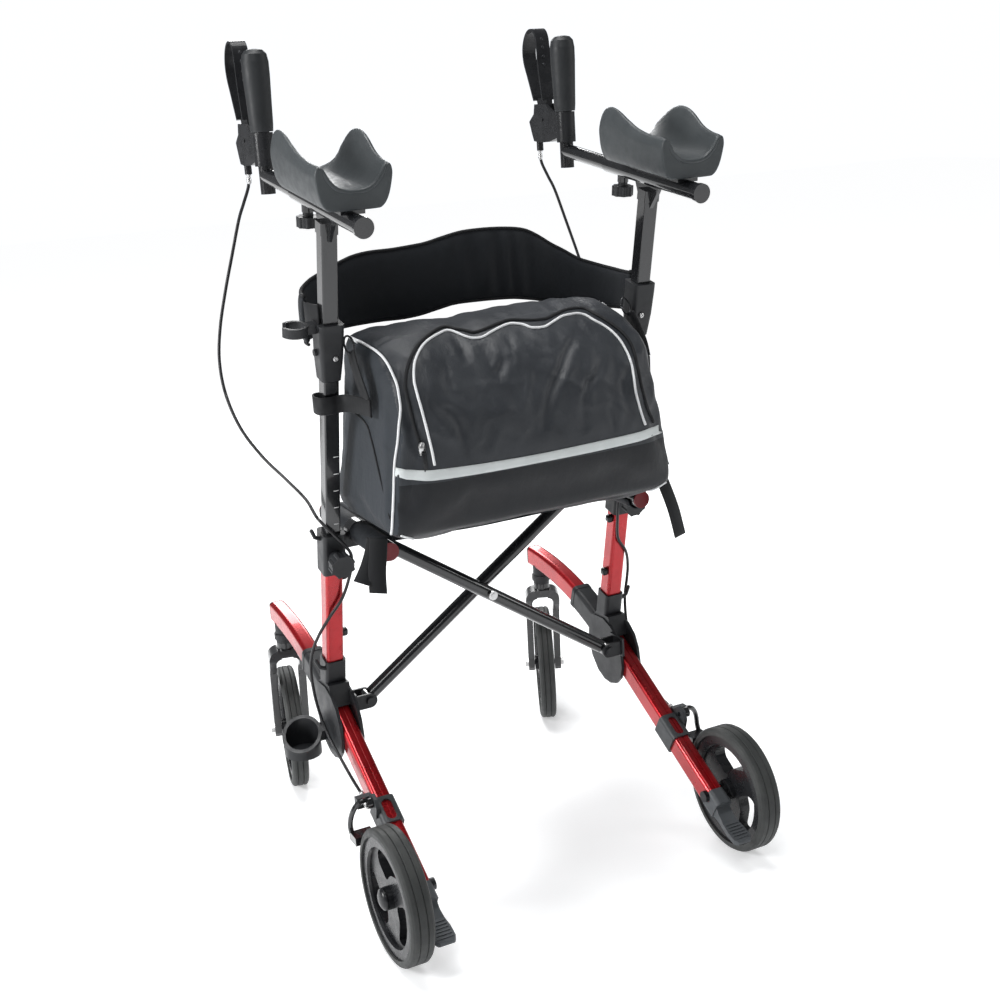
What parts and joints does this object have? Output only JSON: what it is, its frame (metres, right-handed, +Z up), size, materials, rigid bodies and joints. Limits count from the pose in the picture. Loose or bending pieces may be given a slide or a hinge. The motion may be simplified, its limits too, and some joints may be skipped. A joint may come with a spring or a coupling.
{
  "type": "forearm support rollator",
  "caption": "Folding upright walker on four wheels with padded forearm troughs, loop-lever brakes, X-brace frame, seat, zipped bag and backrest strap.",
  "frame": {"origin": "on the floor at the centre of the rest outline", "axes": "+Z up, +Y direction of travel, +X the user's right"},
  "size_m": [0.6922, 0.8318, 1.3006],
  "materials": {
    "red": "gloss metallic",
    "black_metal": "gloss",
    "plastic": "fine moulded grain",
    "grey_plastic": "fine moulded grain",
    "grip_rubber": "matte",
    "pad": "moulded polyurethane skin",
    "tyre": "matte",
    "steel": "zinc plated",
    "cable": "satin",
    "fabric": "woven nylon",
    "reflective": "reflective tape"
  },
  "bodies": {
    "left_frame": {"left_leg_tube": "red", "left_joint_housing": "plastic", "left_front_tube": "red", "left_end_caps": "plastic", "left_lower_upright": "red", "left_height_collar": "plastic", "left_brake_mount": "grey_plastic", "left_rear_axle": "steel", "cane_cup": "plastic", "left_brake_cable": "cable"},
    "left_upright": {"left_upright": "black_metal", "left_strap_bracket": "plastic", "left_arm_bar": "black_metal", "left_arm_pad": "pad", "cane_clip": "plastic", "backrest": "fabric"},
    "left_handle": {"left_handle_tube": "black_metal", "left_grip": "grip_rubber", "left_brake_bracket": "plastic"},
    "left_lever": {"left_brake_lever": "plastic"},
    "left_brake": {"left_brake_arm": "black_metal"},
    "left_height_clamp": {"left_height_knob": "plastic"},
    "left_reach_clamp": {"left_reach_knob": "plastic"},
    "left_caster": {"left_caster_fork": "black_metal"},
    "left_front_wheel": {"left_front_rim": "plastic", "left_front_tyre": "tyre"},
    "left_rear_wheel": {"left_rear_rim": "plastic", "left_rear_tyre": "tyre"},
    "right_frame": {"right_leg_tube": "red", "right_joint_housing": "plastic", "right_front_tube": "red", "right_end_caps": "plastic", "right_lower_upright": "red", "right_height_collar": "plastic", "right_brake_mount": "grey_plastic", "right_rear_axle": "steel", "right_brake_cable": "cable"},
    "right_upright": {"right_upright": "black_metal", "right_strap_bracket": "plastic", "right_arm_bar": "black_metal", "right_arm_pad": "pad"},
    "right_handle": {"right_handle_tube": "black_metal", "right_grip": "grip_rubber", "right_brake_bracket": "plastic"},
    "right_lever": {"right_brake_lever": "plastic"},
    "right_brake": {"right_brake_arm": "black_metal"},
    "right_height_clamp": {"right_height_knob": "plastic"},
    "right_reach_clamp": {"right_reach_knob": "plastic"},
    "right_caster": {"right_caster_fork": "black_metal"},
    "right_front_wheel": {"right_front_rim": "plastic", "right_front_tyre": "tyre"},
    "right_rear_wheel": {"right_rear_rim": "plastic", "right_rear_tyre": "tyre"},
    "front_brace": {"front_brace": "black_metal", "brace_bolt": "steel"},
    "rear_brace": {"rear_brace": "black_metal"},
    "left_rail": {"left_seat_rail": "black_metal", "seat_sling": "fabric", "bag": "fabric"},
    "right_rail": {"right_seat_rail": "black_metal"}
  },
  "joints": [
    {"name": "left_height", "type": "slide", "parent": "left_frame", "child": "left_upright", "axis": [0, -0.23, 0.9732], "range_m": [0, 0.1], "deforming": ["left_brake_cable"]},
    {"name": "left_reach", "type": "slide", "parent": "left_upright", "child": "left_handle", "axis": [0, 0.9888, 0.149], "range_m": [-0.04, 0.04], "deforming": ["left_brake_cable"]},
    {"name": "left_lever_squeeze", "type": "hinge", "parent": "left_handle", "child": "left_lever", "pos_m": [-0.257, 0.13057, 1.155], "axis": [1, 0, 0], "range_deg": [0, 17], "stiffness_Nm_per_rad": 1.5},
    {"name": "left_brake_press", "type": "hinge", "parent": "left_frame", "child": "left_brake", "pos_m": [-0.284, -0.19643, 0.191], "axis": [1, 0, 0], "range_deg": [-3.1, 0]},
    {"name": "left_height_knob_turn", "type": "hinge", "parent": "left_frame", "child": "left_height_clamp", "pos_m": [-0.257, -0.09599, 0.5376], "axis": [0, -0.9732, -0.23], "range_deg": [-360, 0]},
    {"name": "left_reach_knob_turn", "type": "hinge", "parent": "left_upright", "child": "left_reach_clamp", "pos_m": [-0.257, -0.09995, 1.04433], "axis": [0, 0.149, -0.9888], "range_deg": [-360, 0]},
    {"name": "left_caster_swivel", "type": "hinge", "parent": "left_frame", "child": "left_caster", "pos_m": [-0.257, 0.24757, 0.32], "axis": [0, 0, 1], "continuous": true},
    {"name": "left_front_wheel_spin", "type": "hinge", "parent": "left_caster", "child": "left_front_wheel", "pos_m": [-0.24452, 0.30626, 0.11], "axis": [0.9781, -0.2079, 0], "continuous": true},
    {"name": "left_rear_wheel_spin", "type": "hinge", "parent": "left_frame", "child": "left_rear_wheel", "pos_m": [-0.296, -0.31443, 0.1015], "axis": [1, 0, 0], "continuous": true},
    {"name": "right_height", "type": "slide", "parent": "right_frame", "child": "right_upright", "axis": [0, -0.23, 0.9732], "range_m": [0, 0.1], "deforming": ["right_brake_cable"]},
    {"name": "right_reach", "type": "slide", "parent": "right_upright", "child": "right_handle", "axis": [0, 0.9888, 0.149], "range_m": [-0.04, 0.04], "deforming": ["right_brake_cable"]},
    {"name": "right_lever_squeeze", "type": "hinge", "parent": "right_handle", "child": "right_lever", "pos_m": [0.257, 0.13057, 1.155], "axis": [1, 0, 0], "range_deg": [0, 17], "stiffness_Nm_per_rad": 1.5},
    {"name": "right_brake_press", "type": "hinge", "parent": "right_frame", "child": "right_brake", "pos_m": [0.284, -0.19643, 0.191], "axis": [1, 0, 0], "range_deg": [-3.1, 0]},
    {"name": "right_height_knob_turn", "type": "hinge", "parent": "right_frame", "child": "right_height_clamp", "pos_m": [0.257, -0.09599, 0.5376], "axis": [0, -0.9732, -0.23], "range_deg": [-360, 0]},
    {"name": "right_reach_knob_turn", "type": "hinge", "parent": "right_upright", "child": "right_reach_clamp", "pos_m": [0.257, -0.09995, 1.04433], "axis": [0, 0.149, -0.9888], "range_deg": [-360, 0]},
    {"name": "right_caster_swivel", "type": "hinge", "parent": "right_frame", "child": "right_caster", "pos_m": [0.257, 0.24757, 0.32], "axis": [0, 0, 1], "continuous": true},
    {"name": "right_front_wheel_spin", "type": "hinge", "parent": "right_caster", "child": "right_front_wheel", "pos_m": [0.28236, 0.30195, 0.11], "axis": [0.9063, -0.4226, 0], "continuous": true},
    {"name": "right_rear_wheel_spin", "type": "hinge", "parent": "right_frame", "child": "right_rear_wheel", "pos_m": [0.296, -0.31443, 0.1015], "axis": [1, 0, 0], "continuous": true},
    {"name": "fold", "type": "hinge", "parent": "left_frame", "child": "front_brace", "pos_m": [-0.21, -0.02243, 0.28], "axis": [0, -1, 0], "range_deg": [0, 42], "deforming": ["bag", "seat_sling", "backrest"]},
    {"name": "brace_cross", "type": "hinge", "parent": "front_brace", "child": "rear_brace", "pos_m": [0, -0.04343, 0.42561], "axis": [0, -1, 0], "range_deg": [-84.1, 0.1]},
    {"name": "right_frame_pivot", "type": "hinge", "parent": "rear_brace", "child": "right_frame", "pos_m": [0.21, -0.06443, 0.28], "axis": [0, -1, 0], "range_deg": [-0.1, 42.1]},
    {"name": "left_rail_pivot", "type": "hinge", "parent": "rear_brace", "child": "left_rail", "pos_m": [-0.214, -0.06443, 0.574], "axis": [0, -1, 0], "range_deg": [-0.1, 42.1]},
    {"name": "right_rail_pivot", "type": "hinge", "parent": "front_brace", "child": "right_rail", "pos_m": [0.214, -0.02243, 0.574], "axis": [0, -1, 0], "range_deg": [-42.1, 0.1]}
  ],
  "couplings": [
    {"joint": "left_brake_press", "follows": "left_lever_squeeze", "ratio": -0.18},
    {"joint": "right_brake_press", "follows": "right_lever_squeeze", "ratio": -0.18},
    {"joint": "right_height", "follows": "left_height", "ratio": 1},
    {"joint": "brace_cross", "follows": "fold", "ratio": -2},
    {"joint": "right_frame_pivot", "follows": "fold", "ratio": 1},
    {"joint": "left_rail_pivot", "follows": "fold", "ratio": 1},
    {"joint": "right_rail_pivot", "follows": "fold", "ratio": -1}
  ]
}
